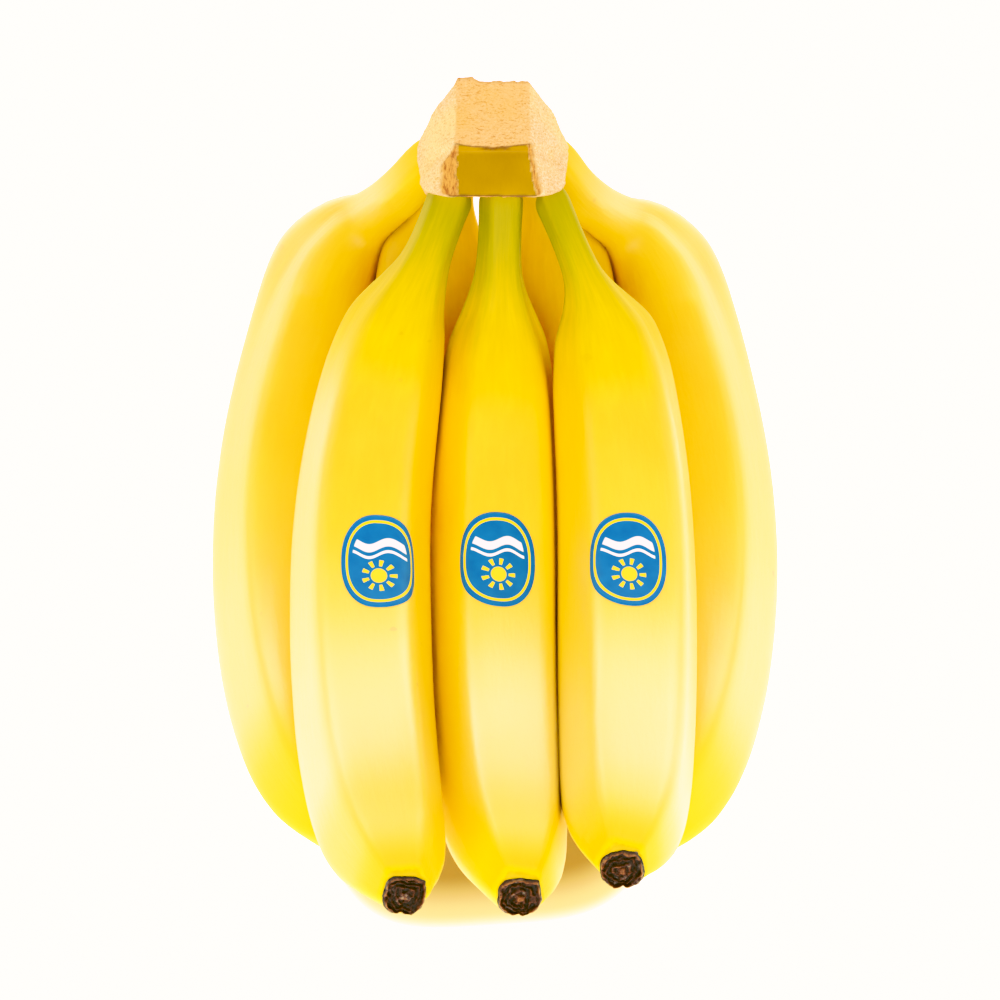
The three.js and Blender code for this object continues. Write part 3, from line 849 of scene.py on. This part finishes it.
def ringed_mesh(name, rings, sides, place):
    """A closed mesh of rings of points, from the middle of its top over the rim to that of its underside.

    A ring is a share of the way out and a height. The first and the last one are single points.
    """
    vertices, faces, layers = [], [], []
    for share, height in rings[1:-1]:
        layers.append([len(vertices) + j for j in range(sides)])
        vertices += [place(2 * math.pi * j / sides, share, height) for j in range(sides)]
    for inner, outer in zip(layers, layers[1:]):
        for j in range(sides):
            k = (j + 1) % sides
            faces.append((inner[j], outer[j], outer[k], inner[k]))
    top, bottom = len(vertices), len(vertices) + 1
    vertices += [place(0, *rings[0]), place(0, *rings[-1])]
    for j in range(sides):
        k = (j + 1) % sides
        faces.append((top, layers[0][j], layers[0][k]))
        faces.append((bottom, layers[-1][k], layers[-1][j]))
    mesh = bpy.data.meshes.new(name)
    mesh.from_pydata(vertices, [], faces)
    return mesh


# ---- Blossom ends ----


def bump_at(value, place, width):
    """One at the place, and dying away to either side of it."""
    return math.exp(-(((value - place) / width) ** 2))


def blossom_outline(angle, seed):
    """A blunt five-cornered shield: flat above, narrower below, with a notch at the bottom and a nib."""
    c, s = abs(math.cos(angle)), abs(math.sin(angle))
    square = (c ** BLOSSOM_SQUARENESS + s ** BLOSSOM_SQUARENESS) ** (-1 / BLOSSOM_SQUARENESS)
    lower = ease(-0.1, -0.9, math.cos(angle))
    spot = Vector((math.cos(angle), math.sin(angle), 0))
    jags = 0.06 * noise.noise(seed + spot * 1.9) + 0.03 * noise.noise(seed + spot * 7.0)
    shield = square * (1 - 0.06 * c) * (1 - 0.1 * lower) + jags
    corners = 1 - 0.14 * bump_at(angle, NOTCH_TURN, 0.13) + 0.1 * bump_at(angle, NIB_TURN, 0.1)
    return BLOSSOM_RADIUS * shield * corners


def blossom_height(angle, share, seed):
    """Height of the crumpled top at a share of the way out: a stub, whorls round it, and a raised rim."""
    spot = seed + Vector((math.cos(angle) * share, math.sin(angle) * share, 0)) * 2.6
    rim = bump_at(share, 0.9, 0.07) * (0.8 + 0.4 * noise.noise(seed + Vector((angle * 2.0, 0, 0))))
    stub = bump_at(share, 0.0, 0.2)
    swirl = share * 5.75 + 1.5 * noise.noise(spot * 0.8) + 0.5 * noise.noise(spot * 2.4)
    whorls = (0.5 + 0.5 * math.sin(swirl * 4.0)) ** 2 * ease(0.12, 0.3, share) * ease(1.0, 0.85, share)
    folds = noise.noise(spot * 2.0) * 0.4 + abs(noise.noise(spot * 4.7)) * 0.45
    pleats = 0.16 * math.sin(angle * 15 + 6 * noise.noise(spot)) * rim
    height = 0.25 + 0.95 * rim + 0.75 * whorls + 1.2 * stub + folds + pleats
    drop = max(0.0, (share - 0.93) / 0.07)
    return max(BLOSSOM_LOWEST, min(BLOSSOM_HIGHEST, height * (1 - 0.45 * drop * drop)))


def make_blossom_end(form, material, sides=110, rings=44):
    """A dried, crumpled five-cornered ring with a stub in its middle, on the tip of its banana."""
    number = form.row["seed"]
    seed = Vector((number * 7.3, 3.1, number * 1.7))
    tip, direction, inwards, sideways = form.section(form.body_length)
    middle = tip - inwards * BLOSSOM_SHIFT
    heights = []

    def place(angle, share, height):
        height = blossom_height(angle, share, seed) if height is None else height
        heights.append(height)
        around = inwards * math.cos(angle) + sideways * math.sin(angle)
        return in_frame(middle + around * blossom_outline(angle, seed) * share + direction * height)

    over = [(math.sin(0.5 * math.pi * k / rings) ** 0.9, None) for k in range(1, rings + 1)]
    mesh = ringed_mesh("blossom_" + form.row["name"], [(0.0, BLOSSOM_MIDDLE), *over, *BLOSSOM_UNDERSIDE],
                       sides, place)
    add_values(mesh, "height", [height / 2 for height in heights])
    return finished(mesh, material)


# ---- Stickers ----


def make_sticker(form, past, turn, peel, material, sides=96, rings=24):
    """An oval of thin film that follows the peel under it, its middle past the belly and turned round it."""
    surface = surface_of(peel)
    bend = form.row["bend"]
    belly = bend * form.up
    radius = form.girth(belly + past)
    stretch = bend / (bend - radius)
    power = STICKER_SQUARENESS
    prints = []

    def place(angle, share, lift):
        c, s = math.cos(angle), math.sin(angle)
        reach = (abs(c) ** power + abs(s) ** power) ** (-1 / power) * share
        prints.append((0.5 + 0.5 * reach * c, 0.5 - 0.5 * reach * s))
        along = belly + past + STICKER_HALF[1] * stretch * reach * s
        around = math.radians(turn) + STICKER_HALF[0] * reach * c / radius
        spot, normal, _, _ = surface.find_nearest(in_frame(form.skin_point(along, around)))
        return spot + normal * lift * MM

    over = [(k / rings, FILM_TOP) for k in range(rings + 1)]
    under = [(k / rings, FILM_UNDER) for k in range(rings, -1, -1)]
    mesh = ringed_mesh("film_" + form.row["name"], over + [(1.003, FILM_RIM)] + under, sides, place)
    mesh.uv_layers.new(name="print")
    for loop, uv in zip(mesh.loops, mesh.uv_layers["print"].data):
        uv.uv = prints[loop.vertex_index]
    return finished(mesh, material)


# ---- Crown ----


def crown_hulls():
    """Cap, collar and cheeks as convex blocks, fused and worn at the edges."""
    shape = bmesh.new()
    for corners in (CAP_CORNERS, COLLAR_CORNERS, CHEEK_CORNERS):
        points = []
        for x, y, z in corners:
            points.append(shape.verts.new((CROWN_MIDDLE - x, y, z)))
            points.append(shape.verts.new((CROWN_MIDDLE + x, y, z)))
        bmesh.ops.convex_hull(shape, input=points)
    mesh = bpy.data.meshes.new("crown_hulls")
    shape.to_mesh(mesh)
    shape.free()
    made = add_object("crown_hulls", mesh)
    fused = made.modifiers.new("fuse", "REMESH")
    fused.mode = "VOXEL"
    fused.voxel_size = CROWN_GRAIN
    worn = made.modifiers.new("wear", "SMOOTH")
    worn.factor = 0.5
    worn.iterations = 3
    mesh = baked(made).data
    bpy.data.objects.remove(made)
    return mesh


def make_crown(material):
    """The crown's block, rough where it is cut, with its kinds of face marked and a ragged back edge."""
    mesh = crown_hulls()
    normals = [v.normal.copy() for v in mesh.vertices]
    marks = {k: [] for k in ("whole", "torn", "pale", "edge")}
    for vertex, normal in zip(mesh.vertices, normals):
        p = vertex.co.copy()
        x = p.x - CROWN_MIDDLE
        side = abs(x)
        jag = noise.noise(p * 0.45) * 1.1 + noise.noise(p * 1.6) * 0.5
        cut = ease(0.93, 0.985, normal.dot(CUT_FACING))
        upper = ease(90.0, 95.0, p.z)

        # the collar's front holds whole skin, with torn strips that widen downwards beside it
        down = (CUT_FRONT - p.y) / COLLAR_DEPTH
        if x < 0:
            skin_edge, torn_edge = 9.7, 9.9 + 4.0 * ease(-0.1, 0.25, down)
        else:
            skin_edge, torn_edge = 9.6 + 2.2 * down, 10.8 + 2.7 * down
        arched = p.y - 1.3 * (x / 10) ** 2
        facing = max(ease(0.3, 0.6, normal.z), ease(102.4, 103.2, p.z))
        front = ease(CUT_FRONT, CUT_FRONT - 0.8, arched + 0.25 * jag) * facing
        beyond = side + 0.5 * jag
        behind = ease(0.2, 0.5, normal.y) * (1 - cut) * ease(98.0, 95.0, p.z)
        inside = front * ease(skin_edge + 0.25, skin_edge - 0.25, beyond)
        whole = max(inside, behind * ease(13.5, 12, side))
        strip = ease(skin_edge - 0.1, skin_edge + 0.3, beyond)
        torn = front * strip * ease(torn_edge + 0.7, torn_edge - 0.7, beyond)

        # dark lines along the cut's front edge, the collar's lower lip and the cut's back edge
        rim = ease(0.45, 0.1, abs(arched + 0.2 * jag - 107.5)) * ease(11.0, 10.0, side) * facing
        lip = ease(96.4, 95.9, p.y + 0.15 * jag) * ease(13, 12, side)
        back = 0.5 * ease(131.2, 132.2, p.y + 0.3 * jag) * upper
        marks["whole"].append(whole)
        marks["torn"].append(torn)
        # the side faces are marked for painted light from the side
        marks["pale"].append(ease(9.6, 10.6, side + 0.4 * jag) * (1 - 0.3 * cut))
        marks["edge"].append(max(rim, lip, back) * 0.75)

        relief = (0.28 * noise.noise(p * 0.35) + 0.16 * noise.noise(p * 1.3)) * (1 - whole)
        if torn > 0.2:
            relief += 0.25 * noise.noise(Vector((p.x * 3.0, p.y * 0.5, p.z * 0.6)))
        # the back edge of the cut is ragged, with a tuft of fibre standing at its left
        brink = ease(129.5, 132.6, p.y) * ease(11.5, 9.5, side) * upper
        tuft = ease(-11.0, -9.4, x) * ease(-3.0, -6.5, x)
        ragged = brink * (0.5 * noise.noise(Vector((p.x * 0.8, 0.0, 3.0))) + 0.25 * jag + 1.5 * tuft)
        vertex.co = in_frame(p + normal * relief + Vector((0.0, ragged, 0.0)))
    for name, values in marks.items():
        add_values(mesh, name, values)
    mesh.name = "crown_block"
    return finished(mesh, material)


# ---- Stage ----


def place_facing(made, place, aim):
    """Puts a camera or a light at a place, turned towards its aim."""
    bpy.context.scene.collection.objects.link(made)
    made.location = place
    made.rotation_euler = (aim - Vector(place)).to_track_quat("-Z", "Y").to_euler()


def add_camera():
    data = bpy.data.cameras.new("camera")
    data.sensor_width = 36
    data.lens = CAMERA_LENS
    data.clip_start = 0.05
    made = bpy.data.objects.new("camera", data)
    back = Vector((0, -math.cos(CAMERA_ELEVATION), math.sin(CAMERA_ELEVATION)))
    place_facing(made, CAMERA_AIM + back * CAMERA_DISTANCE, CAMERA_AIM)
    bpy.context.scene.camera = made


def add_softbox(name, place, size, brightness):
    data = bpy.data.lights.new("softbox_" + name, "AREA")
    data.shape = "RECTANGLE"
    data.size, data.size_y = size
    data.energy = brightness * math.pi * size[0] * size[1]
    place_facing(bpy.data.objects.new(data.name, data), place, SOFTBOX_AIM)


def add_lights():
    for name, place, size, brightness in SOFTBOXES:
        add_softbox(name, place, size, brightness)
    world = bpy.data.worlds.new("studio")
    bpy.context.scene.world = world
    world.use_nodes = True
    room = world.node_tree.nodes["Background"]
    room.inputs["Color"].default_value = (1.0, 0.99, 0.97, 1)
    room.inputs["Strength"].default_value = ROOM_BRIGHTNESS


def set_tones():
    """Lifts the middle tones and holds back the brightest, each colour by its own curve."""
    view = bpy.context.scene.view_settings
    view.view_transform = "Standard"
    view.use_curve_mapping = True
    view.curve_mapping.black_level = BLACK_LEVEL
    view.curve_mapping.clip_max_x = BRIGHTEST_TONE
    view.curve_mapping.extend = "HORIZONTAL"
    for channel, points in zip(view.curve_mapping.curves, TONES):
        channel.points[1].location = points[-1]
        for point in points[:-1]:
            channel.points.new(*point)
    view.curve_mapping.update()


def pale_table():
    """Pale table top that glows as painted light, save where a warm painted shadow of the bunch lies on it.
    """
    material, tree, paint, place = new_material("pale_table")
    fine = tree.noise(place, 60.0, 3.0)
    across, down, _ = tree.separate(place)
    down = tree.minus(down, tree.times(across, SHADOW_SLANT))
    width = tree.power(tree.absolute(tree.maths("DIVIDE", across, SHADOW_HALF[0])), 4.0)
    depth = tree.power(tree.absolute(tree.maths("DIVIDE", down, SHADOW_HALF[1])), 2.5)
    out = tree.power(tree.plus(width, depth), 0.4)
    # painted shadow: dark and warm inside its edge, pale beyond it, where the painted glow begins
    clear = tree.spread(out, 0.97, 1.05)
    painted_shadow = tree.mix(tree.spread(out, 0.84, 0.98), (0.27, 0.165, 0.04, 1), (0.72, 0.68, 0.34, 1))
    pale = tree.mix(fine, (0.93, 0.925, 0.905, 1), (0.95, 0.945, 0.925, 1))
    paint("Base Color", tree.mix(clear, painted_shadow, pale))
    paint("Roughness", 0.7)
    # painted light: the top glows, warm at the painted shadow's edge and not at all inside it
    paint("Emission Color", tree.mix(clear, (1.0, 0.8, 0.3, 1), (1.0, 0.99, 0.96, 1)))
    painted_glow = tree.spread(tree.vector("LENGTH", place), 0.5, 2.0, TABLE_GLOW, FAR_TABLE_GLOW)
    paint("Emission Strength", tree.times(clear, painted_glow))
    return material


def add_table():
    mesh = bpy.data.meshes.new("table_top")
    shape = bmesh.new()
    bmesh.ops.create_grid(shape, x_segments=1, y_segments=1, size=TABLE_HALF)
    shape.to_mesh(mesh)
    shape.free()
    mesh.materials.append(pale_table())
    add_object("table_top", mesh)


# ---- Assembly ----


def hand_over(piece, node):
    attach(piece, "root")
    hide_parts(node)


add_camera()
add_lights()
set_tones()
add_table()
skin, stalk, dried, film = banana_skin(), cut_stalk(), dried_blossom(), sticker_film()
forms = {row["name"]: BananaForm(row) for row in BANANAS}
tree = banana_tree(skin)
peels = {}
for name, form in forms.items():
    peels[name] = make_banana(form, tree)
    hand_over(peels[name], "banana_" + name)
    hand_over(make_blossom_end(form, dried), "blossom_end_" + name)
shade_close_places(peels)
for name, past, turn in STICKERS:
    sticker = make_sticker(forms[name], past, turn, peels[name], film)
    hand_over(sticker, "sticker_" + name)
hand_over(make_crown(stalk), "crown")
